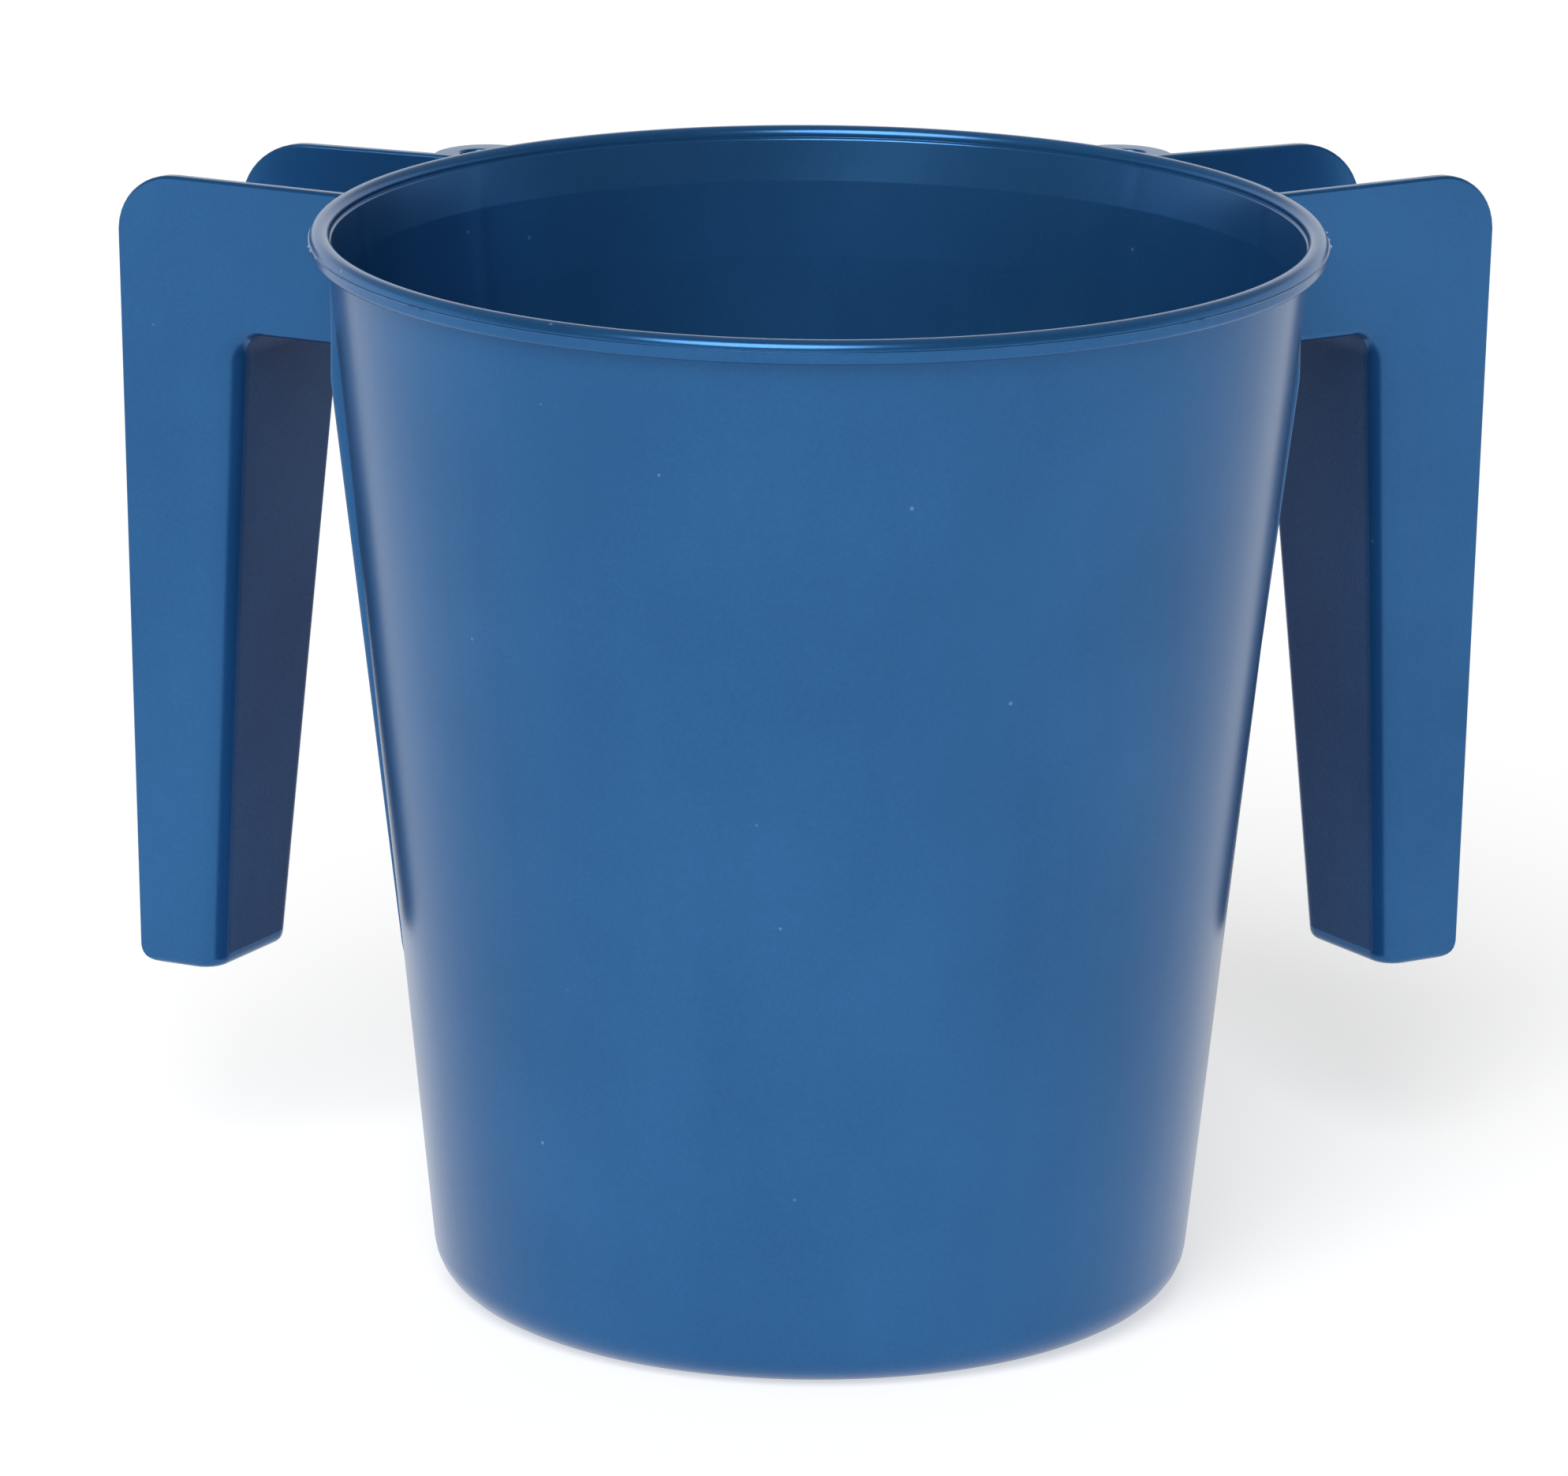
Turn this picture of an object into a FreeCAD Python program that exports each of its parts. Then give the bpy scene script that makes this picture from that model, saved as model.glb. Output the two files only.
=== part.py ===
import FreeCAD, Part
import os
import Sketcher
from FreeCAD import Rotation, Vector

# A small two-handled pouring bucket. It is one plastic moulding, divided here along its moulded
# features. Millimetres. Origin at the centre of the base, +Z up, +X towards the right handle,
# +Y towards the back, which is where both handles sweep and where the hanging tabs stand.

DIMENSIONS = {
    # bowl
    "wall_height": 136.0,
    "wall_top_radius": 62.3,
    "wall_lean": 5.84,
    "wall_thickness": 1.4,
    "floor_thickness": 1.8,
    "base_corner_radius": 6.0,
    "base_joint_height": 8.0,
    # rim bead on top of the wall
    "rim_height": 139.0,
    "rim_radius": 64.6,
    "rim_crown_width": 2.3,
    "rim_ledge": 0.3,
    "rim_outer_round": 1.4,
    "rim_inner_round": 0.7,
    # handle side view: a reach is a distance from the bucket's axis along the handle's bearing
    "handle_bearing": 32.0,
    "handle_top": 138.5,
    "arm_underside": 118.2,
    "leg_bottom": 30.0,
    "leg_reach_top": 78.75,
    "leg_reach_bottom": 84.7,
    "root_reach": 45.0,
    "web_thickness": 1.8,
    "arm_corner_round": 4.0,
    "heel_round": 1.5,
    # handle plan: a cheek's sweep is its angle behind the X axis, and its offset is how far its
    # outer face stands behind the bucket's axis at the handle's top
    "cheek_thickness": 1.8,
    "cheek_draft": 2.2,
    "front_sweep": 27.0,
    "front_offset": -8.25,
    "rear_sweep": 21.0,
    "rear_offset": 27.55,
    # the handle's open outer end
    "end_bearing": 39.9,
    "end_reach": 92.75,
    "end_lean": 0.42,
    "end_top_round": 8.0,
    "end_bottom_round": 2.5,
    "leg_front_round": 3.8,
    "leg_rear_round": 3.0,
    "arm_edge_round": 1.2,
    # raised panel of the wall that faces the finger gap: how far it stands proud of the wall under
    # the arm and at its toe, and the height over which it fades out at either end
    "panel_span": 57.0,
    "panel_proud_top": 1.7,
    "panel_proud_toe": 0.4,
    "panel_toe": 43.5,
    "panel_toe_fade": 3.0,
    "panel_top_fade": 16.0,
    # hanging tab and its hole
    "tab_bearing": 50.8,
    "tab_reach": 66.0,
    "tab_radius": 7.4,
    "tab_top": 137.5,
    "tab_thickness": 2.0,
    "hole_reach": 67.9,
    "hole_radius": 2.4,
    # size of the solid blocks that trim the others
    "block": 200.0,
}

doc = FreeCAD.newDocument("pouring_bucket")
sheet = doc.addObject("Spreadsheet::Sheet", "dims")
for row, (alias, value) in enumerate(DIMENSIONS.items(), start=1):
    sheet.set(f"A{row}", alias)
    sheet.set(f"B{row}", str(value))
    sheet.setAlias(f"B{row}", alias)
doc.recompute()

TOUCH = 0.01  # how near an edge's middle lies to a face that it belongs to


def bind(feature, **expressions):
    for name, expression in expressions.items():
        feature.setExpression(name, expression)
    return feature


def polygon_sketch(body, name, corners, role="XZ_Plane"):
    """A closed outline on one of the body's origin planes, each corner placed by expressions."""
    sketch = body.newObject("Sketcher::SketchObject", name)
    plane = next(item for item in body.Origin.OriginFeatures if item.Role == role)
    sketch.AttachmentSupport = [(plane, "")]
    sketch.MapMode = "FlatFace"
    count = len(corners)
    start = [Vector(10 + index, 10 + index * index, 0) for index in range(count)]
    for index in range(count):
        sketch.addGeometry(Part.LineSegment(start[index], start[(index + 1) % count]), False)
    for index in range(count):
        joint = Sketcher.Constraint("Coincident", index, 2, (index + 1) % count, 1)
        sketch.addConstraint(joint)
    for index, corner in enumerate(corners):
        for kind, axis, expression in zip(("DistanceX", "DistanceY"), (-2, -1), corner):
            if expression == "0":
                sketch.addConstraint(Sketcher.Constraint("PointOnObject", index, 1, axis))
                continue
            size = Sketcher.Constraint(kind, -1, 1, index, 1, 10.0 + index)
            number = sketch.addConstraint(size)
            sketch.renameConstraint(number, f"{kind}_{index}")
            sketch.setExpression(f"Constraints.{kind}_{index}", expression)
    doc.recompute()
    return sketch


def turned_body(name, corners):
    """A body made by turning an outline about the bucket's axis."""
    body = doc.addObject("PartDesign::Body", name)
    turn = body.newObject("PartDesign::Revolution", f"{name}_turn")
    turn.Profile = polygon_sketch(body, f"{name}_outline", corners)
    turn.ReferenceAxis = (turn.Profile[0], ["V_Axis"])
    turn.Angle = 360.0
    doc.recompute()
    return body


def side_body(name, corners):
    """A body made by padding a handle side view both ways, turned to the handle's bearing."""
    body = doc.addObject("PartDesign::Body", name)
    pad = body.newObject("PartDesign::Pad", f"{name}_pad")
    pad.Profile = polygon_sketch(body, f"{name}_outline", corners)
    pad.SideType = "Symmetric"
    bind(pad, Length="dims.block")
    bind(body, Placement="placement(vector(0; 0; 0); rotation(dims.handle_bearing; 0; 0))")
    doc.recompute()
    return body


def round_edges(body, chosen, radius):
    """Fillet the edges of the body's last feature that the test picks out."""
    base = body.Tip
    names = [f"Edge{number}" for number, edge in enumerate(base.Shape.Edges, start=1)
             if chosen(edge)]
    fillet = body.newObject("PartDesign::Fillet", f"{body.Name}_round_{len(body.Group)}")
    fillet.Base = (base, names)
    bind(fillet, Radius=radius)
    doc.recompute()


def is_ring(radius, height):
    """Test for a circular edge of this radius and height about the bucket's axis."""
    def test(edge):
        curve = edge.Curve
        if not isinstance(curve, Part.Circle):
            return False
        return abs(curve.Radius - radius) < TOUCH and abs(curve.Center.z - height) < TOUCH
    return test


def is_line_at(reach, height):
    """Test for a long straight edge of a side view's pad that runs through this corner."""
    def test(edge):
        middle = edge.CenterOfMass
        level = abs(middle.z - height) < TOUCH and edge.Length > sheet.block / 2
        return level and abs(middle.x - reach) < TOUCH
    return test


def combine(kind, name, **links):
    feature = doc.addObject(kind, name)
    for key, value in links.items():
        setattr(feature, key, value)
    doc.recompute()
    return feature


# ---- bowl: base, wall and rim bead ----------------------------------------------------------

def wall_radius(height, inside=False):
    """Expression for the wall's radius at a height."""
    skin = " - dims.wall_thickness / cos(dims.wall_lean * 1 deg)" if inside else ""
    run = f"(dims.wall_height - ({height})) * tan(dims.wall_lean * 1 deg)"
    return f"dims.wall_top_radius - {run}{skin}"


def make_base():
    body = turned_body("bucket_base", [
        ("0", "0"),
        (wall_radius("0"), "0"),
        (wall_radius("dims.base_joint_height"), "dims.base_joint_height"),
        (wall_radius("dims.base_joint_height", inside=True), "dims.base_joint_height"),
        (wall_radius("dims.floor_thickness", inside=True), "dims.floor_thickness"),
        ("0", "dims.floor_thickness"),
    ])
    rings = [edge.Curve for edge in body.Shape.Edges if isinstance(edge.Curve, Part.Circle)]
    outer = max(ring.Radius for ring in rings if abs(ring.Center.z) < TOUCH)
    inner = max(ring.Radius for ring in rings
                if abs(ring.Center.z - sheet.floor_thickness) < TOUCH)
    round_edges(body, is_ring(outer, 0), "dims.base_corner_radius")
    round_edges(body, is_ring(inner, sheet.floor_thickness),
                "dims.base_corner_radius - dims.wall_thickness")
    return body


def make_wall():
    joint = "dims.base_joint_height"
    top = "dims.wall_height"
    return turned_body("bucket_wall", [
        (wall_radius(joint), joint),
        (wall_radius(top), top),
        (wall_radius(top, inside=True), top),
        (wall_radius(joint, inside=True), joint),
    ])


def make_rim():
    body = turned_body("rim_bead", [
        ("dims.wall_top_radius", "dims.wall_height"),
        ("dims.rim_radius - dims.rim_ledge", "dims.wall_height + dims.rim_ledge"),
        ("dims.rim_radius", "dims.wall_height + 2 * dims.rim_ledge"),
        ("dims.rim_radius", "dims.rim_height"),
        ("dims.rim_radius - dims.rim_crown_width", "dims.rim_height"),
        (wall_radius("dims.wall_height", inside=True), "dims.wall_height"),
    ])
    crown_inside = sheet.rim_radius - sheet.rim_crown_width
    round_edges(body, is_ring(sheet.rim_radius, sheet.rim_height), "dims.rim_outer_round")
    round_edges(body, is_ring(crown_inside, sheet.rim_height), "dims.rim_inner_round")
    return body


def make_bowl_plug():
    """The bucket's outside filled solid, which trims what grows out of the wall."""
    inside_crown = "dims.rim_radius - dims.rim_crown_width / 2"
    return turned_body("bowl_plug", [
        ("0", "0"),
        (wall_radius("0"), "0"),
        (wall_radius("dims.wall_height"), "dims.wall_height"),
        (inside_crown, "dims.wall_height"),
        (inside_crown, "dims.block"),
        ("0", "dims.block"),
    ])


# ---- handle ---------------------------------------------------------------------------------

def half_space(name, sweep, roll, low_corner):
    """A block with one face on a drafted cheek plane, or on the handle's end plane."""
    turn = f"placement(vector(0; 0; dims.handle_top); rotation({sweep}; {roll}))"
    shift = f"placement(vector({low_corner}); rotation(0; 0; 0))"
    block = doc.addObject("Part::Box", name)
    return bind(block, Length="dims.block", Width="dims.block", Height="dims.block",
                Placement=f"{turn} * {shift}")


def behind_front(name, skin):
    """What lies behind the front cheek's outer face, or behind its inner face with a skin."""
    return half_space(name, "dims.front_sweep", "0; dims.cheek_draft",
                      f"0; dims.front_offset + {skin}; -0.75 * dims.block")


def before_rear(name, skin):
    """What lies in front of the rear cheek's outer face, or of its inner face with a skin."""
    return half_space(name, "dims.rear_sweep", "0; -dims.cheek_draft",
                      f"0; dims.rear_offset - dims.block - {skin}; -0.75 * dims.block")


def make_side_view():
    body = side_body("handle_side", [
        ("dims.root_reach", "dims.handle_top"),
        ("dims.block", "dims.handle_top"),
        ("dims.block", "dims.leg_bottom"),
        ("dims.leg_reach_bottom", "dims.leg_bottom"),
        ("dims.leg_reach_top", "dims.arm_underside"),
        ("dims.root_reach", "dims.arm_underside"),
    ])
    round_edges(body, is_line_at(sheet.leg_reach_top, sheet.arm_underside),
                "dims.arm_corner_round")
    return body


def make_channel_side():
    """Side view of the hollow between the cheeks, open upward and outward."""
    floor = "dims.arm_underside + dims.web_thickness"
    heel = "dims.leg_bottom + dims.web_thickness"
    body = side_body("channel_side", [
        ("dims.root_reach", floor),
        ("dims.leg_reach_top + dims.web_thickness", floor),
        ("dims.leg_reach_bottom + dims.web_thickness", heel),
        ("dims.block", heel),
        ("dims.block", "dims.block"),
        ("dims.root_reach", "dims.block"),
    ])
    round_edges(body, is_line_at(sheet.leg_reach_top + sheet.web_thickness,
                                 sheet.arm_underside + sheet.web_thickness),
                "dims.arm_corner_round + dims.web_thickness")
    return body


def side_view_of(point):
    """A point seen along the handle: x is its reach, y is how far it lies towards the rear."""
    return Rotation(Vector(0, 0, 1), -sheet.handle_bearing).multVec(point)


def handle_edge_rounds(blank):
    """(edge number, first radius, last radius) for each rounded edge of the handle's blank."""
    end_turn = Rotation(Vector(0, 0, 1), -sheet.end_bearing)
    knee = sheet.arm_underside - sheet.arm_corner_round
    heel = sheet.leg_bottom + sheet.arm_corner_round
    rounds = []
    for number, edge in enumerate(blank.Shape.Edges, start=1):
        middle = edge.valueAt((edge.FirstParameter + edge.LastParameter) / 2)
        heights = [edge.firstVertex().Point.z, edge.lastVertex().Point.z]
        level = abs(heights[0] - heights[1]) < TOUCH
        at_end = abs(end_turn.multVec(middle).x - sheet.end_reach) < sheet.end_bottom_round
        seen = side_view_of(middle)
        on_web = sheet.root_reach + TOUCH < seen.x < sheet.leg_reach_bottom + TOUCH
        if level and at_end:
            top = middle.z > sheet.arm_underside
            radius = sheet.end_top_round if top else sheet.end_bottom_round
            rounds.append((number, radius, radius))
        elif on_web and not level:
            in_front = seen.y < 0
            wide_below = knee + 1 if in_front else heel
            wide = sheet.leg_front_round if in_front else sheet.leg_rear_round
            radii = [wide if height < wide_below else sheet.arm_edge_round for height in heights]
            rounds.append((number, *radii))
        elif on_web and abs(middle.z - sheet.arm_underside) < TOUCH:
            rounds.append((number, sheet.arm_edge_round, sheet.arm_edge_round))
        elif on_web and abs(middle.z - sheet.leg_bottom) < TOUCH:
            rounds.append((number, sheet.heel_round, sheet.heel_round))
    return rounds


def make_handle(bowl_parts):
    """The right handle whole: two cheeks joined by a web that lines the finger gap."""
    front_outer = behind_front("behind_front_cheek", "0")
    rear_outer = before_rear("before_rear_cheek", "0")
    front_inner = behind_front("behind_front_skin", "dims.cheek_thickness")
    rear_inner = before_rear("before_rear_skin", "dims.cheek_thickness")
    end = half_space("inside_handle_end", "dims.end_bearing", "-dims.end_lean; 0",
                     "dims.end_reach - dims.block; -dims.block / 2; -0.75 * dims.block")
    doc.recompute()
    blank = combine("Part::MultiCommon", "handle_blank",
                    Shapes=[make_side_view(), front_outer, rear_outer, end])
    rounded = combine("Part::Fillet", "handle_rounded",
                      Base=blank, Edges=handle_edge_rounds(blank))
    channel = combine("Part::MultiCommon", "handle_channel",
                      Shapes=[make_channel_side(), front_inner, rear_inner])
    hollows = combine("Part::MultiFuse", "handle_hollows", Shapes=[channel, *bowl_parts])
    handle = combine("Part::Cut", "handle_whole", Base=rounded, Tool=hollows)
    return {
        "gap_panel": combine("Part::Cut", "right_gap_panel", Base=make_panel(), Tool=rounded),
        "front_cheek": combine("Part::Cut", "right_front_cheek", Base=handle, Tool=front_inner),
        "rear_cheek": combine("Part::Cut", "right_rear_cheek", Base=handle, Tool=rear_inner),
        "grip_web": combine("Part::MultiCommon", "right_grip_web",
                            Shapes=[handle, front_inner, rear_inner]),
    }


def make_panel():
    """The raised panel that backs the finger gap, turned about the axis like the wall."""
    toe_end = "dims.panel_toe - dims.panel_toe_fade"
    corners = [
        (wall_radius(toe_end), toe_end),
        (f"{wall_radius('dims.panel_toe')} + dims.panel_proud_toe", "dims.panel_toe"),
        (f"{wall_radius('dims.arm_underside')} + dims.panel_proud_top", "dims.arm_underside"),
        (wall_radius("dims.arm_underside + dims.panel_top_fade"),
         "dims.arm_underside + dims.panel_top_fade"),
    ]
    body = turned_body("gap_panel_whole", corners)
    bind(body.Tip, Angle="dims.panel_span")
    body.Tip.Midplane = True
    bind(body, Placement="placement(vector(0; 0; 0); rotation(dims.handle_bearing; 0; 0))")
    doc.recompute()
    return body


# ---- hanging tab ----------------------------------------------------------------------------

def upright_cylinder(name, radius, height, reach, floor):
    cylinder = doc.addObject("Part::Cylinder", name)
    turn = "placement(vector(0; 0; 0); rotation(dims.tab_bearing; 0; 0))"
    shift = f"placement(vector({reach}; 0; {floor}); rotation(0; 0; 0))"
    return bind(cylinder, Radius=radius, Height=height, Placement=f"{turn} * {shift}")


def make_tab(bowl_parts):
    """A flat ear behind the rim, in the corner that the rear cheek makes with it."""
    disc = upright_cylinder("tab_disc", "dims.tab_radius", "dims.tab_thickness",
                            "dims.tab_reach", "dims.tab_top - dims.tab_thickness")
    hole = upright_cylinder("tab_hole", "dims.hole_radius", "dims.block",
                            "dims.hole_reach", "0")
    cheek_side = before_rear("tab_cheek_side", "0")
    doc.recompute()
    cutters = combine("Part::MultiFuse", "tab_cutters", Shapes=[hole, cheek_side, *bowl_parts])
    return combine("Part::Cut", "right_hanging_tab", Base=disc, Tool=cutters)


def mirrored(source, name):
    copy = doc.addObject("Part::Mirroring", name)
    copy.Source = source
    copy.Base = Vector(0, 0, 0)
    copy.Normal = Vector(1, 0, 0)
    doc.recompute()
    return copy


# ---- assembly, checks and export ------------------------------------------------------------

nodes = {"bucket_base": make_base(), "bucket_wall": make_wall(), "rim_bead": make_rim()}
bowl_parts = [make_bowl_plug(), nodes["rim_bead"]]
for name, piece in (*make_handle(bowl_parts).items(), ("hanging_tab", make_tab(bowl_parts))):
    nodes[f"right_{name}"] = piece
    nodes[f"left_{name}"] = mirrored(piece, f"left_{name}")
for name, piece in nodes.items():
    piece.Label = name
doc.recompute()

for item in doc.Objects:
    if "Invalid" in item.State or "Error" in item.State:
        raise RuntimeError(f"{item.Name} failed: {item.State}")
os.makedirs("parts", exist_ok=True)
for name, piece in nodes.items():
    shape = piece.Shape
    if shape.isNull() or not shape.isValid() or len(shape.Solids) != 1:
        raise RuntimeError(f"{name} is not one valid solid")
    shape.exportStep(f"parts/{name}.step")
    low, high = shape.BoundBox.ZMin, shape.BoundBox.ZMax
    print(f"{name}: {shape.Volume:.0f} mm3, from z {low:.1f} to {high:.1f}")
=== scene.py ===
import math

import bmesh
import bpy
from mathutils import Matrix, Vector, noise


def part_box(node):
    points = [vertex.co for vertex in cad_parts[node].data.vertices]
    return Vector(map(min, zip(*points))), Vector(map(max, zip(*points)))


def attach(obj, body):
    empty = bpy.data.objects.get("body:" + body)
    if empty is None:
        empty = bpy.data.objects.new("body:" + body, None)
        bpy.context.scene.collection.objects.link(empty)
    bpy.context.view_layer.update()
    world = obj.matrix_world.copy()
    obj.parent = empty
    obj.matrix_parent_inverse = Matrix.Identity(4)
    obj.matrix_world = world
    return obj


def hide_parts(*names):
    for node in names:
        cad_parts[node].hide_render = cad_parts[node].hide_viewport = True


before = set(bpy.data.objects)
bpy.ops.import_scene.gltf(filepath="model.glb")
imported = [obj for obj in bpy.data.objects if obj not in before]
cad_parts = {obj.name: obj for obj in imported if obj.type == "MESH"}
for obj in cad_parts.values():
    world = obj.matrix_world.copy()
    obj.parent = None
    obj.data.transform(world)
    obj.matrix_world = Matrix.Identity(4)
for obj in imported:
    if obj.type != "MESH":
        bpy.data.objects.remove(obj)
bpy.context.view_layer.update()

# A two-handled pouring bucket, moulded in one shot of pearly blue plastic. The visible pieces are
# the bowl and, on each side, a channel-shaped handle, a raised panel of the wall and a hanging ear.
# They are measured in millimetres, in the CAD frame, and scaled to metres as meshes are made.

MM = 0.001

# bowl, from the CAD boxes
RIM_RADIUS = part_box("rim_bead")[1].x / MM
RIM_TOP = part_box("rim_bead")[1].z / MM
WALL_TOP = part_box("bucket_wall")[1].z / MM
WALL_TOP_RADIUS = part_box("bucket_wall")[1].x / MM
BASE_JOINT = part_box("bucket_base")[1].z / MM
WALL_SLOPE = (WALL_TOP_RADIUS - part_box("bucket_base")[1].x / MM) / (WALL_TOP - BASE_JOINT)
WALL_THICKNESS = 1.4
FLOOR_THICKNESS = 1.8
BASE_CORNER = 6.0
PROFILE_STEP = 3.0

# rim: crown width, roundings, the drop to the crease inside, and the parting ridge outside
RIM_CROWN = 2.6
CROWN_STEP = 1.4
CROWN_OUTER_ROUND, CROWN_INNER_ROUND = 1.15, 1.1
CREASE, CREASE_ROUND, CROWN_FOOT_ROUND = 0.2, 0.4, 0.08
RIM_FOOT_ROUND, RIM_ROOT_ROUND = 0.7, 0.25
BELOW_PARTING_INSET, ABOVE_PARTING_INSET = 0.04, 0.06
PARTING_HEIGHT = 137.7
PARTING_PROUD = 0.1
PARTING_BELOW, PARTING_ABOVE = 0.2, 0.08
PARTING_EDGE, PARTING_FOOT = 0.04, 0.02
# the lip that widens towards the mouth, inside
FLARE_BOTTOM, FLARE_MIDDLE, FLARE_SPREAD, FLARE_ROUND = 122.0, 132.0, 0.2, 3.0
TURN_STEPS = 720

# handle: reaches run along its bearing, heights are above the base
HANDLE_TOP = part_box("right_front_cheek")[1].z / MM
LEG_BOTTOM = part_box("right_grip_web")[0].z / MM
BEARING = math.radians(32)
ROOT_REACH = 45.0
ARM_UNDERSIDE = 118.2
LEG_REACH_TOP = 78.75
LEG_REACH_BOTTOM = 84.7
LEG_SLOPE = (LEG_REACH_BOTTOM - LEG_REACH_TOP) / (ARM_UNDERSIDE - LEG_BOTTOM)
PLATE = 1.8
FINGER_CORNER = 4.0
ARM_EDGE, LEG_FRONT_EDGE, LEG_REAR_EDGE = 1.2, 3.8, 3.0
HEEL_EDGE = 1.3
END_BEARING = math.radians(39.9)
END_REACH = 92.75
END_SLOPE = math.tan(math.radians(0.42))
END_TOP_ROUND, END_BOTTOM_ROUND = 8.0, 2.5
DRAFT = math.radians(2.2)
FRONT = {"sweep": math.radians(27), "offset": -8.25, "back": 1}
REAR = {"sweep": math.radians(21), "offset": 27.55, "back": -1}
FREE_EDGE_ROUND = 0.45
LONGEST_RUN, RUN_HALVINGS = 40.0, 40
LEG_END_DROPS = (0.5, 1.0, 1.35)
FOOT_START = 0.25
INNER_EDGE = 0.8
CAP_STEPS = 3

# raised panel of the wall that faces the finger gap
PANEL_START, PANEL_END = math.radians(3.5), math.radians(60.5)
PANEL_TOE = 43.5
PANEL_TOE_FADE, PANEL_TOP_FADE = 3.0, 16.0
PANEL_PROUD_TOE, PANEL_PROUD_TOP = 0.4, 1.7
PANEL_TOE_PARTS, PANEL_TOE_CURVE = (0.0, 0.25, 0.5, 0.75), 0.7
PANEL_ROWS, PANEL_TOP_ROWS = 30, 8
PANEL_ROUND, PANEL_ROUND_SHARE = 0.9, 0.8
PANEL_BURIED = 0.5
PANEL_HIDDEN = 0.05

# hanging tab, its hole from the record's mount
TAB_BEARING = math.radians(50.8)
TAB_REACH = 66.0
TAB_RADIUS = 7.4
TAB_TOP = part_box("right_hanging_tab")[1].z / MM
TAB_THICKNESS = 2.0
ROOT_DEPTH = 0.2
HOLE_REACH = 67.9
HOLE_RADIUS = 2.4
TAB_LOWER_ROUND, TAB_UPPER_ROUND, HOLE_ROUND = 0.4, 0.55, 0.3
TAB_STEPS, TAB_HALVINGS = 72, 30


# ---- outlines -------------------------------------------------------------------------------

def rounded_line(corners, steps=6):
    """Points along a polyline of (x, y, radius) corners, each inner corner rounded by an arc."""
    points = [Vector(corners[0][:2])]
    for before, corner, after in zip(corners, corners[1:], corners[2:]):
        middle = Vector(corner[:2])
        radius = corner[2]
        arriving = (middle - Vector(before[:2])).normalized()
        leaving = (Vector(after[:2]) - middle).normalized()
        side = math.copysign(1, arriving.cross(leaving))
        turn = arriving.angle(leaving)
        start = middle - arriving * radius * math.tan(turn / 2)
        centre = start + Vector((-arriving.y, arriving.x)) * radius * side
        for step in range(steps + 1):
            spin = Matrix.Rotation(turn * side * step / steps, 2)
            points.append(centre + spin @ (start - centre))
    points.append(Vector(corners[-1][:2]))
    return points


def divided(points, longest):
    """The same outline with no step longer than this."""
    result = [points[0]]
    for start, end in zip(points, points[1:]):
        count = max(1, math.ceil((end - start).length / longest))
        result += [start.lerp(end, step / count) for step in range(1, count + 1)]
    return result


# ---- meshes ---------------------------------------------------------------------------------

def make_object(name, points, faces):
    mesh = bpy.data.meshes.new(name)
    mesh.from_pydata([point * MM for point in points], [], faces)
    piece = bpy.data.objects.new(name, mesh)
    bpy.context.scene.collection.objects.link(piece)
    outward_faces(piece)
    return piece


def outward_faces(piece):
    shell = bmesh.new()
    shell.from_mesh(piece.data)
    bmesh.ops.recalc_face_normals(shell, faces=shell.faces)
    shell.to_mesh(piece.data)
    shell.free()


def turned(name, profile, steps, relief=None):
    """A skin turned about Z from a profile that starts and ends on the axis."""
    rings = profile[1:-1]
    points = [Vector((0, 0, profile[0].y)), Vector((0, 0, profile[-1].y))]
    for number, (radius, height) in enumerate(rings):
        for step in range(steps):
            angle = math.tau * step / steps
            reach = radius + (relief(number, radius, height, angle) if relief else 0)
            points.append(Vector((reach * math.cos(angle), reach * math.sin(angle), height)))
    faces = []
    for step in range(steps):
        after = (step + 1) % steps
        last = 2 + (len(rings) - 1) * steps
        faces += [(0, 2 + after, 2 + step), (1, last + step, last + after)]
        for ring in range(len(rings) - 1):
            low = 2 + ring * steps
            faces.append((low + step, low + after, low + steps + after, low + steps + step))
    return make_object(name, points, faces)


def apply_modifiers(piece):
    graph = bpy.context.evaluated_depsgraph_get()
    mesh = bpy.data.meshes.new_from_object(piece.evaluated_get(graph))
    piece.modifiers.clear()
    piece.data = mesh


def combine(piece, other, operation):
    modifier = piece.modifiers.new("combine", "BOOLEAN")
    modifier.operation = operation
    modifier.solver = "EXACT"
    modifier.object = other
    apply_modifiers(piece)
    bpy.data.objects.remove(other)


def finish_surface(piece, material, crease=38):
    """Smooth shading that keeps flat faces flat and true corners crisp."""
    piece.data.shade_smooth()
    piece.data.set_sharp_from_angle(angle=math.radians(crease))
    weighted = piece.modifiers.new("weighted normals", "WEIGHTED_NORMAL")
    weighted.keep_sharp = True
    piece.data.materials.clear()
    piece.data.materials.append(material)


def mirrored(piece, name):
    mesh = piece.data.copy()
    mesh.transform(Matrix.Scale(-1, 4, (1, 0, 0)))
    mesh.flip_normals()
    copy = bpy.data.objects.new(name, mesh)
    bpy.context.scene.collection.objects.link(copy)
    return copy


# ---- bowl -----------------------------------------------------------------------------------

def wall_radius(height):
    return WALL_TOP_RADIUS - (WALL_TOP - height) * WALL_SLOPE


def bump(value, centre, width):
    """A smooth hill of height 1 at the centre."""
    return math.exp(-((value - centre) / width) ** 2)


def along_turn(angle, degrees):
    """Signed way round from a bearing to an angle, in degrees."""
    return (math.degrees(angle) - degrees + 180) % 360 - 180


# Shallow marks of the moulding: (bearing in degrees, depth in mm, half width in degrees)
SINK_LINES = ((18.8, 0.10, 1.1), (161.2, 0.10, 1.1), (45.0, -0.12, 1.3), (135.0, -0.12, 1.3))
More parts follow.
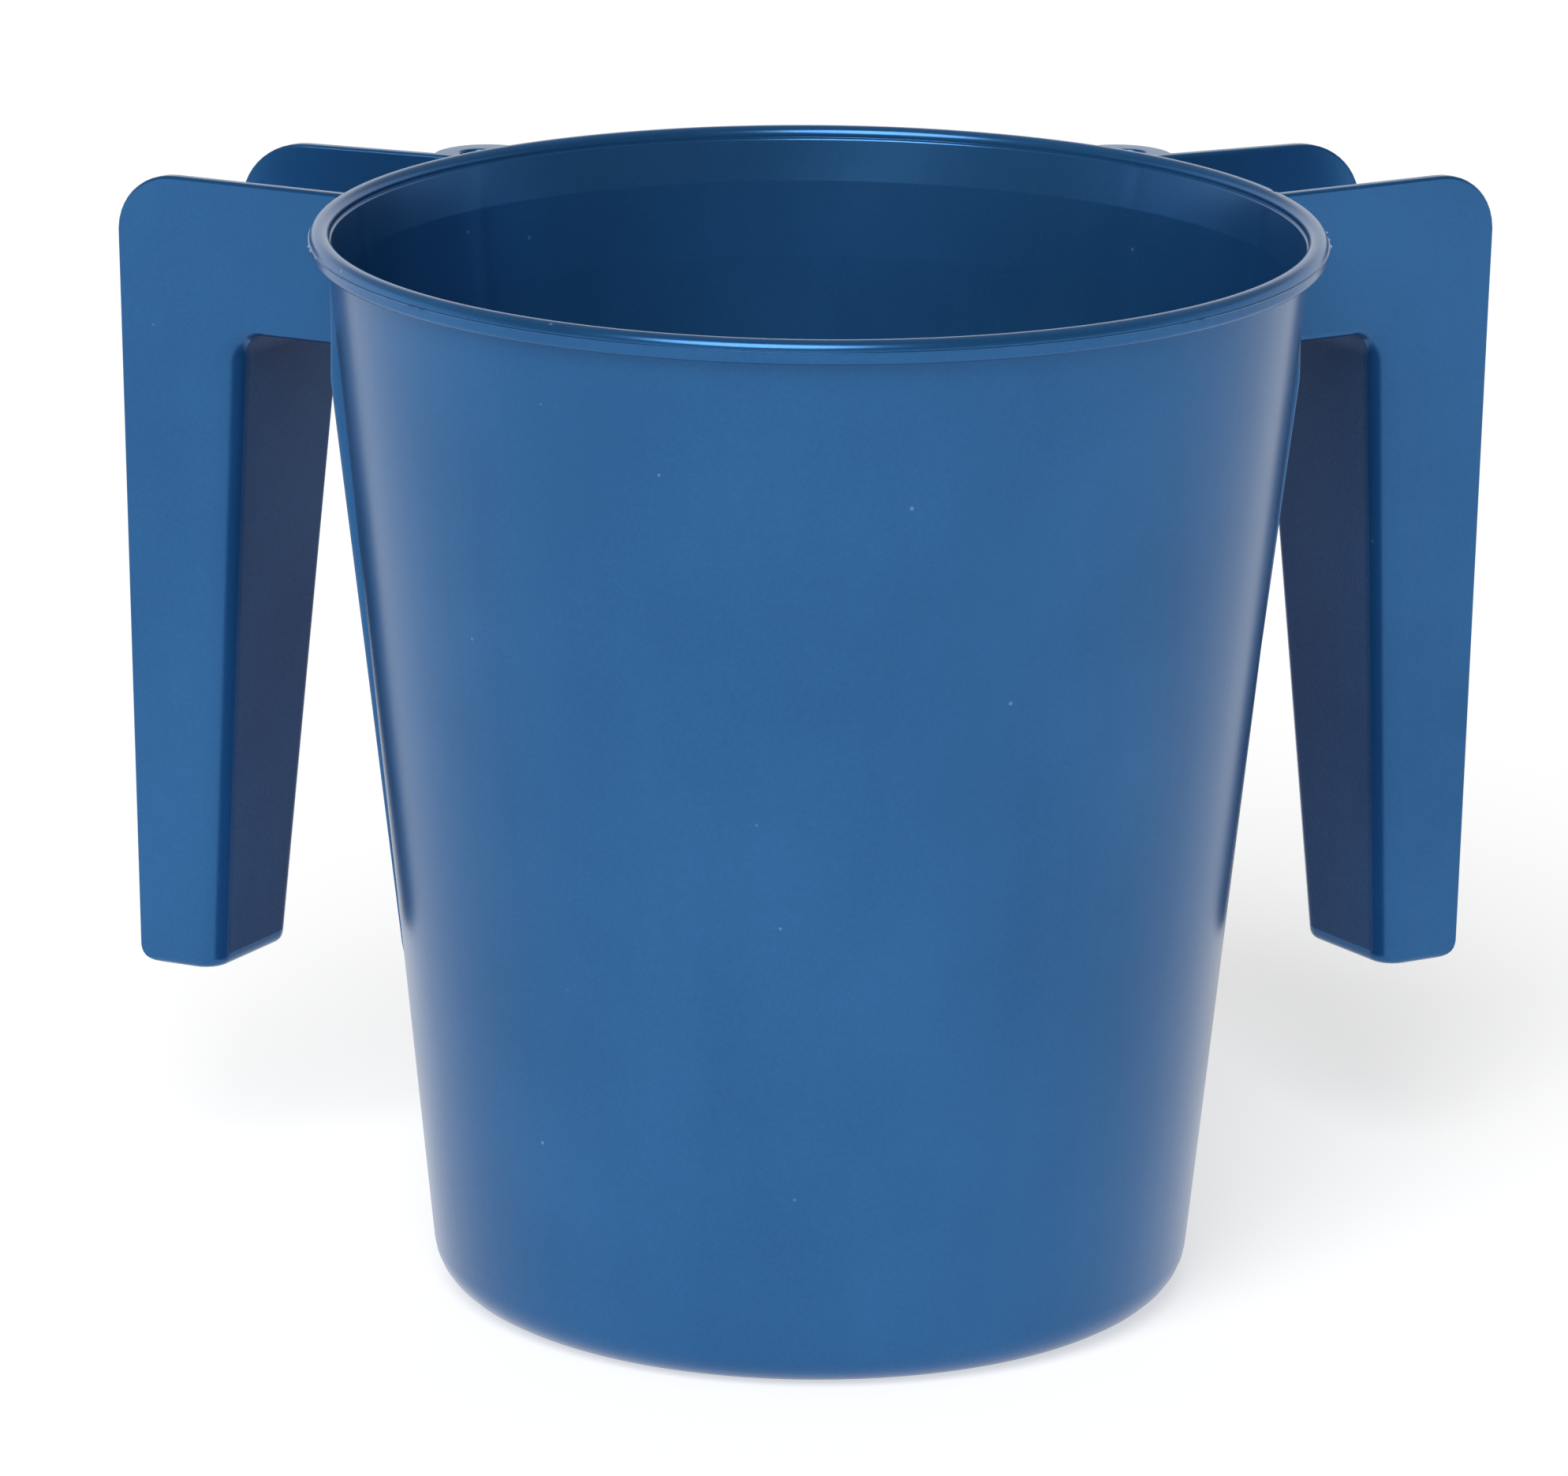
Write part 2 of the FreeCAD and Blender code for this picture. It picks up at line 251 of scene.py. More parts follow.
# Flash left along the parting line under the rim: (bearing, height in mm, half width in degrees)
FLASH = ((-5.0, 0.30, 0.9), (-1.5, 0.22, 0.5), (2.5, 0.36, 0.5), (5.0, 0.22, 0.5),
         (185.0, 0.26, 0.7), (187.2, 0.30, 0.6), (191.0, 0.18, 0.6), (217.3, 0.26, 0.45),
         (219.0, 0.34, 0.35), (-46.0, 0.28, 0.4), (-48.5, 0.2, 0.5), (98.0, 0.15, 0.6))
FLASH_GRAIN, FLASH_GRAIN_PITCH = 0.04, 45
# A small nick in the rim's outer corner: how far in and down it reaches is in mm
NICK_BEARING, NICK_DEPTH, NICK_WIDTH, NICK_REACH = 20.5, 0.6, 0.6, 1.3
RIPPLE_BEARING, RIPPLE_WIDTH, RIPPLE_PITCH, RIPPLE_DEPTH = -47.0, 13.0, 2.6, 0.018
RIPPLE_HEIGHT, RIPPLE_RISE = 22, 9
WAVE, WAVE_SPAN = 0.05, 30
SINK_FADE = 20


def bowl_profile():
    """Half section of the bowl, from the axis under the floor, over the rim, to the floor's top."""
    def inside_at(height):
        return wall_radius(height) - WALL_THICKNESS

    below_ridge = RIM_RADIUS - BELOW_PARTING_INSET
    above_ridge = RIM_RADIUS - ABOVE_PARTING_INSET
    crown_inside, crown_foot = RIM_RADIUS - RIM_CROWN, RIM_TOP - CROWN_STEP
    corners = [
        (0, 0, 0),
        (wall_radius(0), 0, BASE_CORNER),
        (WALL_TOP_RADIUS, WALL_TOP, RIM_ROOT_ROUND),
        (below_ridge, WALL_TOP, RIM_FOOT_ROUND),
        (below_ridge, PARTING_HEIGHT - PARTING_BELOW, PARTING_FOOT),
        (RIM_RADIUS + PARTING_PROUD, PARTING_HEIGHT, PARTING_EDGE),
        (above_ridge, PARTING_HEIGHT + PARTING_ABOVE, PARTING_FOOT),
        (above_ridge, RIM_TOP, CROWN_OUTER_ROUND),
        (crown_inside, RIM_TOP, CROWN_INNER_ROUND),
        (crown_inside, crown_foot, CROWN_FOOT_ROUND),
        (crown_inside - CREASE, crown_foot, CREASE_ROUND),
        (inside_at(FLARE_MIDDLE) + FLARE_SPREAD, FLARE_MIDDLE, FLARE_ROUND),
        (inside_at(FLARE_BOTTOM), FLARE_BOTTOM, FLARE_ROUND),
        (inside_at(FLOOR_THICKNESS), FLOOR_THICKNESS, BASE_CORNER - WALL_THICKNESS),
        (0, FLOOR_THICKNESS, 0),
    ]
    return divided(rounded_line(corners, steps=7), longest=PROFILE_STEP)


def bowl_relief(profile):
    """How far the real moulding strays from the perfect turned shape, ring by ring."""
    crown = max(range(len(profile)), key=lambda index: profile[index].y)

    def relief(number, radius, height, angle):
        outside = number + 1 < crown
        shift = 0.0
        if height < WALL_TOP:
            spot = Vector((radius * math.cos(angle), radius * math.sin(angle), height))
            shift += WAVE * noise.noise(spot / WAVE_SPAN)
            if outside:
                ripple = math.sin(math.tau * height / RIPPLE_PITCH)
                shift += (RIPPLE_DEPTH * ripple
                          * bump(along_turn(angle, RIPPLE_BEARING), 0, RIPPLE_WIDTH)
                          * bump(height, RIPPLE_HEIGHT, RIPPLE_RISE))
            else:
                fade = min(1, max(0, (height - FLOOR_THICKNESS) / SINK_FADE))
                shift += fade * sum(depth * bump(along_turn(angle, bearing), 0, width)
                                    for bearing, depth, width in SINK_LINES)
        elif outside and radius > RIM_RADIUS + PARTING_PROUD / 2:
            around = Vector((math.cos(angle), math.sin(angle), 0))
            shift += FLASH_GRAIN * (1 + noise.noise(around * FLASH_GRAIN_PITCH))
            shift += sum(rise * bump(along_turn(angle, bearing), 0, width)
                         for bearing, rise, width in FLASH)
        if height > RIM_TOP - NICK_REACH and radius > RIM_RADIUS - NICK_REACH:
            shift -= NICK_DEPTH * bump(along_turn(angle, NICK_BEARING), 0, NICK_WIDTH)
        return shift

    return relief


def make_bowl():
    profile = bowl_profile()
    return turned("bowl_shell", profile, TURN_STEPS, bowl_relief(profile))


PLUG_OVERRUN, PLUG_RISE = 5, 0.4


def make_root_plug():
    """What lies inside the middle of the wall and rim, where the handles' roots are buried."""
    inside = WALL_THICKNESS / 2
    crown = RIM_RADIUS - RIM_CROWN / 2
    below, above = -PLUG_OVERRUN, RIM_TOP + PLUG_OVERRUN
    corners = [(0, below), (wall_radius(below) - inside, below),
               (WALL_TOP_RADIUS - inside, WALL_TOP), (crown, WALL_TOP + PLUG_RISE),
               (crown, above), (0, above)]
    return turned("root_plug", [Vector(corner) for corner in corners], TURN_STEPS // 2)


# ---- handle ---------------------------------------------------------------------------------

def to_frame(reach, lateral, height):
    """A point of the handle's side view in the CAD frame."""
    return Vector((reach * math.cos(BEARING) - lateral * math.sin(BEARING),
                   reach * math.sin(BEARING) + lateral * math.cos(BEARING), height))


def face_lateral(cheek, reach, height, inset=0.0):
    """Where a cheek's outer face, moved inwards by the inset, lies at a point of the side view."""
    drop = (HANDLE_TOP - height) * math.sin(DRAFT)
    offset = (cheek["offset"] + cheek["back"] * drop) / math.cos(DRAFT) + cheek["back"] * inset
    skew = BEARING - cheek["sweep"]
    return (offset - reach * math.sin(skew)) / math.cos(skew)


def past_open_edge(point):
    """How far a point lies beyond the handle's open outline, with its rounded corners."""
    end = point.x * math.cos(END_BEARING) + point.y * math.sin(END_BEARING)
    past_end = end - END_REACH - (HANDLE_TOP - point.z) * END_SLOPE
    top_side = point.z > ARM_UNDERSIDE
    past_level = point.z - HANDLE_TOP if top_side else LEG_BOTTOM - point.z
    radius = END_TOP_ROUND if top_side else END_BOTTOM_ROUND
    if past_end > -radius and past_level > -radius:
        return math.hypot(past_end + radius, past_level + radius) - radius
    return max(past_end, past_level)


def open_run(cheek, origin, direction, inset=0.0):
    """How far along a section a cheek's face runs from the web to its open edge."""
    near, far = 0.0, LONGEST_RUN
    for _ in range(RUN_HALVINGS):
        middle = (near + far) / 2
        reach, height = origin + direction * middle
        point = to_frame(reach, face_lateral(cheek, reach, height, inset), height)
        near, far = (middle, far) if past_open_edge(point) < 0 else (near, middle)
    return near


def leg_point(height):
    return Vector((LEG_REACH_TOP + (ARM_UNDERSIDE - height) * LEG_SLOPE, height))


def handle_stations(arm_steps=8, fan_steps=40, leg_steps=16):
    """(web's point on the finger side, direction into the channel, front and rear edge radii)."""
    corner_turn = math.radians(90) - math.atan(LEG_SLOPE)
    centre = Vector((LEG_REACH_TOP - FINGER_CORNER * math.tan(corner_turn / 2),
                     ARM_UNDERSIDE - FINGER_CORNER))
    stations = []
    for step in range(arm_steps):
        reach = ROOT_REACH + (centre.x - ROOT_REACH) * step / arm_steps
        stations.append((Vector((reach, ARM_UNDERSIDE)), Vector((0, 1)), ARM_EDGE, ARM_EDGE))
    for step in range(fan_steps + 1):
        part = step / fan_steps
        spoke = math.radians(90) - corner_turn * part
        aim = math.radians(90) * (1 - part)
        point = centre + FINGER_CORNER * Vector((math.cos(spoke), math.sin(spoke)))
        stations.append((point, Vector((math.cos(aim), math.sin(aim))),
                         ARM_EDGE + (LEG_FRONT_EDGE - ARM_EDGE) * part, ARM_EDGE))
    top = stations[-1][0].y
    low = LEG_BOTTOM + END_BOTTOM_ROUND + 1
    heights = [top + (low - top) * step / leg_steps for step in range(1, leg_steps + 1)]
    heights += [low - drop for drop in LEG_END_DROPS] + [LEG_BOTTOM + PLATE]
    for height in heights:
        rise = (height - LEG_BOTTOM) / (top - LEG_BOTTOM)
        rear_edge = LEG_REAR_EDGE + (ARM_EDGE - LEG_REAR_EDGE) * rise
        stations.append((leg_point(height), Vector((1, 0)), LEG_FRONT_EDGE, rear_edge))
    return stations


def section_line(origin, direction, inset, edges, short=0.0):
    """One line of a section, from the front cheek's open edge round the web to the rear's."""
    def corner(cheek, run, rounding):
        reach, height = origin + direction * run
        return (run, face_lateral(cheek, reach, height, inset), rounding)

    front_run, rear_run = (open_run(cheek, origin, direction, inset) - short
                           for cheek in (FRONT, REAR))
    line = rounded_line([corner(FRONT, front_run, 0), corner(FRONT, inset, edges[0]),
                         corner(REAR, inset, edges[1]), corner(REAR, rear_run, 0)])
    return [to_frame(origin.x + direction.x * run, lateral, origin.y + direction.y * run)
            for run, lateral in line]


def cheek_end(cheek, origin, direction, inset=0.0):
    """A cheek's rounded free edge, from its outer face to its inner face, ends left out."""
    radius = FREE_EDGE_ROUND
    turns = [math.radians(90) * step / CAP_STEPS for step in range(1, CAP_STEPS + 1)]
    outer = [(radius * (1 - math.cos(turn)), radius * (1 - math.sin(turn))) for turn in turns]
    rows = outer + [(PLATE - aside, back) for aside, back in reversed(outer)]
    points = []
    for aside, back in rows:
        run = open_run(cheek, origin, direction, inset + aside) - back
        reach, height = origin + direction * run
        points.append(to_frame(reach, face_lateral(cheek, reach, height, inset + aside), height))
    return points


def shell_section(origin, direction, front_edge, rear_edge):
    """A closed U: outside of the web and cheeks, rear free edge, inside, front free edge."""
    outside = section_line(origin, direction, 0, (front_edge, rear_edge), FREE_EDGE_ROUND)
    inner_edges = [max(edge - PLATE, INNER_EDGE) for edge in (front_edge, rear_edge)]
    inside = section_line(origin, direction, PLATE, inner_edges, FREE_EDGE_ROUND)
    return (outside + cheek_end(REAR, origin, direction) + inside[::-1]
            + cheek_end(FRONT, origin, direction)[::-1])


def foot_section(height, inset):
    """A solid section under the channel's floor."""
    place, outward = leg_point(height), Vector((1, 0))
    edges = (LEG_FRONT_EDGE - inset, LEG_REAR_EDGE - inset)
    line = section_line(place, outward, inset, edges, FREE_EDGE_ROUND)
    rear = cheek_end(REAR, place, outward, inset)[:CAP_STEPS]
    front = cheek_end(FRONT, place, outward, inset)[:CAP_STEPS]
    return line + rear + front[::-1]


def foot_rows(steps=5):
    """(height, inset) of the rows that close the handle's lower end, round at its heel."""
    rows = [(LEG_BOTTOM + HEEL_EDGE + FOOT_START, 0.0)]
    for step in range(steps + 1):
        angle = math.radians(90) * step / steps
        rows.append((LEG_BOTTOM + HEEL_EDGE * (1 - math.sin(angle)),
                     HEEL_EDGE * (1 - math.cos(angle))))
    return rows


def bridge(upper, lower, closed=True):
    """Faces between two rows of point numbers."""
    last = len(upper) if closed else len(upper) - 1
    return [(upper[index], upper[(index + 1) % len(upper)],
             lower[(index + 1) % len(upper)], lower[index]) for index in range(last)]


def make_handle_shell():
    """Cheeks and web as one thin skin, with a root and a floor at its lower end.

    Known fault: the face that closes the floor's outer end also runs round the whole inside, so
    the floor is there twice. It renders black, and the skin isn't watertight.
    """
    sections = [shell_section(*station) for station in handle_stations()]
    sections += [foot_section(height, inset) for height, inset in foot_rows()]
    points, rows = [], []
    for section in sections:
        rows.append(list(range(len(points), len(points) + len(section))))
        points += section
    shell_rows = [row for row in rows if len(row) == len(rows[0])]
    foot = [row for row in rows if len(row) < len(rows[0])]
    faces = [face for pair in zip(shell_rows, shell_rows[1:]) for face in bridge(*pair)]
    line = (len(rows[0]) - 4 * CAP_STEPS) // 2
    rear_cap, inside, front_cap = line, line + 2 * CAP_STEPS, 2 * line + 2 * CAP_STEPS
    root, end = shell_rows[0], shell_rows[-1]
    faces += bridge(root[:line], root[inside:front_cap][::-1], closed=False)
    faces.append([root[line - 1], *root[rear_cap:inside], root[inside]])
    faces.append([root[0], root[front_cap - 1], *root[front_cap:]])
    faces.append(end[inside:front_cap])
    rim = end[:rear_cap + CAP_STEPS] + end[front_cap + CAP_STEPS:]
    rear, front = line + CAP_STEPS - 1, line + CAP_STEPS
    faces.append([*end[rear:front_cap + CAP_STEPS + 1], foot[0][front], foot[0][rear]])
    for upper, lower in zip([rim, *foot], foot):
        quads = bridge(upper, lower)
        faces += quads[:rear] + quads[front:]
    for upper, lower in zip(foot, foot[1:]):
        faces.append((upper[rear], upper[front], lower[front], lower[rear]))
    faces.append(foot[-1])
    return make_object("right_handle_shell", points, faces)


def panel_rows():
    """(height, how far the panel stands proud of the wall) from its toe up under the arm."""
    rows = [(PANEL_TOE - PANEL_TOE_FADE * (1 - part), PANEL_PROUD_TOE * part ** PANEL_TOE_CURVE)
            for part in PANEL_TOE_PARTS]
    for step in range(PANEL_ROWS + 1):
        part = step / PANEL_ROWS
        rows.append((PANEL_TOE + (ARM_UNDERSIDE - PANEL_TOE) * part,
                     PANEL_PROUD_TOE + (PANEL_PROUD_TOP - PANEL_PROUD_TOE) * part))
    for step in range(1, PANEL_TOP_ROWS + 1):
        part = step / PANEL_TOP_ROWS
        rows.append((ARM_UNDERSIDE + PANEL_TOP_FADE * part, PANEL_PROUD_TOP * (1 - part)))
    return rows


def make_panel(steps=48, corner_steps=5):
    """The panel behind the finger gap, with soft upright edges."""
    loops = []
    for height, proud in panel_rows():
        wall = wall_radius(height) - PANEL_HIDDEN
        proud += PANEL_HIDDEN
        rounding = min(PANEL_ROUND, PANEL_ROUND_SHARE * proud)
        half = []
        for step in range(corner_steps + 1):
            angle = math.radians(90) * step / corner_steps
            half.append((wall + proud - rounding * (1 - math.sin(angle)),
                         rounding * (1 - math.cos(angle)) / wall))
        outer = [(reach, PANEL_START + aside) for reach, aside in half]
        outer += [(wall + proud, PANEL_START + (PANEL_END - PANEL_START) * step / steps)
                  for step in range(2, steps - 1)]
        outer += [(reach, PANEL_END - aside) for reach, aside in reversed(half)]
        ring = outer + [(wall - PANEL_BURIED, angle) for reach, angle in reversed(outer)]
        loops.append([Vector((reach * math.cos(angle), reach * math.sin(angle), height))
                      for reach, angle in ring])
    points = [point for loop in loops for point in loop]
    rows = [list(range(start, start + len(loops[0])))
            for start in range(0, len(points), len(loops[0]))]
    faces = [face for pair in zip(rows, rows[1:]) for face in bridge(*pair)]
    for row in (rows[0], rows[-1]):
        half = len(row) // 2
        faces += bridge(row[:half], row[half:][::-1], closed=False)
    return make_object("right_gap_panel_skin", points, faces)


def make_handle():
    handle = make_handle_shell()
    combine(handle, make_root_plug(), "DIFFERENCE")
    return handle


# ---- hanging tab ----------------------------------------------------------------------------

def make_tab():
    """A flat ear with a hole, in the corner between the rim and the rear cheek."""
    aim = Vector((math.cos(TAB_BEARING), math.sin(TAB_BEARING)))
    middle, hole = aim * TAB_REACH, aim * HOLE_REACH
    root_radius = WALL_TOP_RADIUS - ROOT_DEPTH
    across = Vector((-math.sin(REAR["sweep"]), math.cos(REAR["sweep"])))

    def inside(point):
        in_disc = (point - middle).length < TAB_RADIUS
        behind_cheek = point.dot(across) > REAR["offset"] - PLATE / 2
        return in_disc and behind_cheek and point.length > root_radius

    loops = []
    for step in range(TAB_STEPS):
        ray = Vector((math.cos(math.tau * step / TAB_STEPS), math.sin(math.tau * step / TAB_STEPS)))
        near, far = HOLE_RADIUS, 2 * TAB_RADIUS
        for _ in range(TAB_HALVINGS):
            half = (near + far) / 2
            near, far = (half, far) if inside(hole + ray * half) else (near, half)
        bottom = TAB_TOP - TAB_THICKNESS
        wide = (near + HOLE_RADIUS) / 2
        corners = [(wide, bottom, 0), (near, bottom, TAB_LOWER_ROUND),
                   (near, TAB_TOP, TAB_UPPER_ROUND), (HOLE_RADIUS, TAB_TOP, HOLE_ROUND),
                   (HOLE_RADIUS, bottom, HOLE_ROUND), (wide, bottom, 0)]
        ring = rounded_line(corners, steps=3)[:-1]
        loops.append([Vector((*(hole + ray * reach), height)) for reach, height in ring])
    count = len(loops[0])
    points = [point for loop in loops for point in loop]
    faces = []
    for step in range(TAB_STEPS):
        here, there = step * count, (step + 1) % TAB_STEPS * count
        for index in range(count):
            after = (index + 1) % count
            faces.append((here + index, here + after, there + after, there + index))
    return make_object("right_hanging_ear", points, faces)


# ---- material -------------------------------------------------------------------------------

def linear(red, green, blue):
    """A display colour given in 0 to 255, as the shader's linear colour."""
    def channel(value):
        part = value / 255
        return part / 12.92 if part <= 0.04045 else ((part + 0.055) / 1.055) ** 2.4
    return (channel(red), channel(green), channel(blue), 1)


class Nodes:
    """Short hand for building a node tree."""

    def __init__(self, material):
        material.use_nodes = True
        self.tree = material.node_tree
        self.shader = self.tree.nodes["Principled BSDF"]

    def add(self, kind, inputs=(), **settings):
        node = self.tree.nodes.new(kind)
        for key, value in settings.items():
            setattr(node, key, value)
        for key, value in dict(inputs).items():
            if isinstance(value, bpy.types.NodeSocket):
                self.tree.links.new(value, node.inputs[key])
            else:
                node.inputs[key].default_value = value
        return node

    def noise(self, place, scale, detail=3.0, stretch=(1, 1, 1)):
        mapping = self.add("ShaderNodeMapping", {"Vector": place, "Scale": stretch})
        texture = self.add("ShaderNodeTexNoise", {"Vector": mapping.outputs[0], "Scale": scale,
                                                  "Detail": detail})
        return texture.outputs["Fac"]

    def remap(self, value, low, high, start=0.3, end=0.7):
        node = self.add("ShaderNodeMapRange", {"Value": value, "From Min": start, "From Max": end,
                                               "To Min": low, "To Max": high})
        return node.outputs["Result"]


CLOUD_SCALE, GLOSS_SCALE, GLOSS_SPREAD = 28, 55, 0.02
STREAK_SCALE, STREAK_STRETCH, STREAK_SHARE = 160, 0.05, 0.15
GRAIN_SCALE, GRAIN_SHARE, GRAIN_BUMP, GRAIN_HEIGHT = 2200, 0.3, 0.06, 0.00005
PIGMENT_RANGE = (0.38, 0.62)
SPECK_SCALE, SPECK_STRENGTH, SPECK_RANGE = 95.0, 0.35, (0.015, 0.03)
SPECK_COLOUR = (150, 175, 205)


def pearly_plastic(name, deep, light, roughness, metallic, ior):
    """Pearly moulded plastic: cloudy pigment, faint draw streaks, fine grain, rare pale specks."""
    material = bpy.data.materials.new(name)
    nodes = Nodes(material)
    place = nodes.add("ShaderNodeTexCoord").outputs["Object"]
    clouds = nodes.noise(place, CLOUD_SCALE, detail=4)
    streaks = nodes.noise(place, STREAK_SCALE, detail=2, stretch=(1, 1, STREAK_STRETCH))
    grain = nodes.noise(place, GRAIN_SCALE, detail=2)
    pigment = nodes.add("ShaderNodeMix", {"Factor": STREAK_SHARE, "A": clouds, "B": streaks},
                        data_type="FLOAT").outputs["Result"]
    pigment = nodes.add("ShaderNodeMix", {"Factor": GRAIN_SHARE, "A": pigment, "B": grain},
                        data_type="FLOAT").outputs["Result"]
    colour = nodes.add("ShaderNodeValToRGB", {"Fac": nodes.remap(pigment, 0, 1, *PIGMENT_RANGE)})
    colour.color_ramp.elements[0].color = deep
    colour.color_ramp.elements[1].color = light
    specks = nodes.add("ShaderNodeTexVoronoi", {"Vector": place, "Scale": SPECK_SCALE})
    speck = nodes.remap(specks.outputs["Distance"], SPECK_STRENGTH, 0, *SPECK_RANGE)
    blend = nodes.add("ShaderNodeMix", data_type="RGBA")
    nodes.tree.links.new(speck, blend.inputs["Factor"])
    nodes.tree.links.new(colour.outputs["Color"], blend.inputs["A"])
    blend.inputs["B"].default_value = linear(*SPECK_COLOUR)
    nodes.tree.links.new(blend.outputs["Result"], nodes.shader.inputs["Base Color"])
    gloss = nodes.remap(nodes.noise(place, GLOSS_SCALE, detail=5),
                        roughness - GLOSS_SPREAD, roughness + GLOSS_SPREAD)
    nodes.tree.links.new(gloss, nodes.shader.inputs["Roughness"])
    relief = nodes.add("ShaderNodeBump", {"Strength": GRAIN_BUMP, "Distance": GRAIN_HEIGHT,
                                          "Height": grain})
    nodes.tree.links.new(relief.outputs["Normal"], nodes.shader.inputs["Normal"])
    nodes.shader.inputs["IOR"].default_value = ior
    nodes.shader.inputs["Metallic"].default_value = metallic
    return material


FLOOR_GREY, FLOOR_GLOW = 0.5, 0.6
FLOOR_SIDE, FLOOR_DROP = 8.0, 0.0002


def floor_material():
    """A pale floor with a light table's glow."""
    material = bpy.data.materials.new("studio_floor")
    nodes = Nodes(material)
    nodes.shader.inputs["Base Color"].default_value = (FLOOR_GREY, FLOOR_GREY, FLOOR_GREY, 1)
    nodes.shader.inputs["Roughness"].default_value = 0.9
    nodes.shader.inputs["Specular IOR Level"].default_value = 0.1
    nodes.shader.inputs["Emission Color"].default_value = (1, 1, 1, 1)
    nodes.shader.inputs["Emission Strength"].default_value = FLOOR_GLOW
    return material


# ---- studio ---------------------------------------------------------------------------------

CAMERA_PLACE = Vector((-48.34, -1172.36, 396.1)) * MM
CAMERA_YAW, CAMERA_PITCH, CAMERA_ROLL = (math.radians(angle) for angle in (2.17, 15.45, -0.46))
CAMERA_LENS, CAMERA_SENSOR = 217.3, 36.0
MAIN_STRENGTH = 3.15
MAIN_ELEVATION, MAIN_LEFT, MAIN_SPREAD = (math.radians(angle) for angle in (41, 18, 42))
# The room: (sine of the elevation, brightness), and how much of that is left in front
SKY = ((0.0, 1.1), (0.3, 1.0), (0.42, 0.35), (1.0, 0.3))
SKY_FRONT, SKY_BLEND = 0.12, 0.4


def make_camera():
    camera = bpy.data.cameras.new("camera")
    camera.lens = CAMERA_LENS
    camera.sensor_width = CAMERA_SENSOR
    view = bpy.data.objects.new("camera", camera)
    spin = (Matrix.Rotation(-CAMERA_YAW, 4, "Z")
            @ Matrix.Rotation(math.radians(90) - CAMERA_PITCH, 4, "X")
            @ Matrix.Rotation(-CAMERA_ROLL, 4, "Z"))
    view.matrix_world = Matrix.Translation(CAMERA_PLACE) @ spin
    bpy.context.scene.collection.objects.link(view)
    bpy.context.scene.camera = view


def aim_light(lamp, place, target):
    holder = bpy.data.objects.new(lamp.name, lamp)
    holder.location = place
    holder.rotation_euler = (Vector(target) - Vector(place)).to_track_quat("-Z", "Y").to_euler()
    bpy.context.scene.collection.objects.link(holder)


def make_main_light():
    """A large soft light high in front, a little to the left, which lights the floor evenly."""
    lamp = bpy.data.lights.new("main_softbox", "SUN")
    lamp.energy = MAIN_STRENGTH
    lamp.angle = MAIN_SPREAD
    level = math.cos(MAIN_ELEVATION)
    aim_light(lamp, (-level * math.sin(MAIN_LEFT), -level * math.cos(MAIN_LEFT),
                     math.sin(MAIN_ELEVATION)), (0, 0, 0))


def make_sky():
    """A room that is pale behind the bucket at eye level, and dim in front and above."""
    world = bpy.data.worlds.new("studio")
    world.use_nodes = True
    tree = world.node_tree
    direction = tree.nodes.new("ShaderNodeTexCoord").outputs["Generated"]
    split = tree.nodes.new("ShaderNodeSeparateXYZ")
    ramp = tree.nodes.new("ShaderNodeValToRGB")
    tree.links.new(direction, split.inputs["Vector"])
    tree.links.new(split.outputs["Z"], ramp.inputs["Fac"])
    behind = tree.nodes.new("ShaderNodeMapRange")
    behind.inputs["From Min"].default_value = -SKY_BLEND
    behind.inputs["From Max"].default_value = SKY_BLEND
    behind.inputs["To Min"].default_value = SKY_FRONT
    tree.links.new(split.outputs["Y"], behind.inputs["Value"])
    tree.links.new(ramp.outputs["Color"], tree.nodes["Background"].inputs["Color"])
    tree.links.new(behind.outputs["Result"], tree.nodes["Background"].inputs["Strength"])
    for element, (height, level) in zip(ramp.color_ramp.elements, (SKY[0], SKY[-1])):
        element.position = height
        element.color = (level, level, level, 1)
    for height, level in SKY[1:-1]:
        ramp.color_ramp.elements.new(height).color = (level, level, level, 1)
    bpy.context.scene.world = world


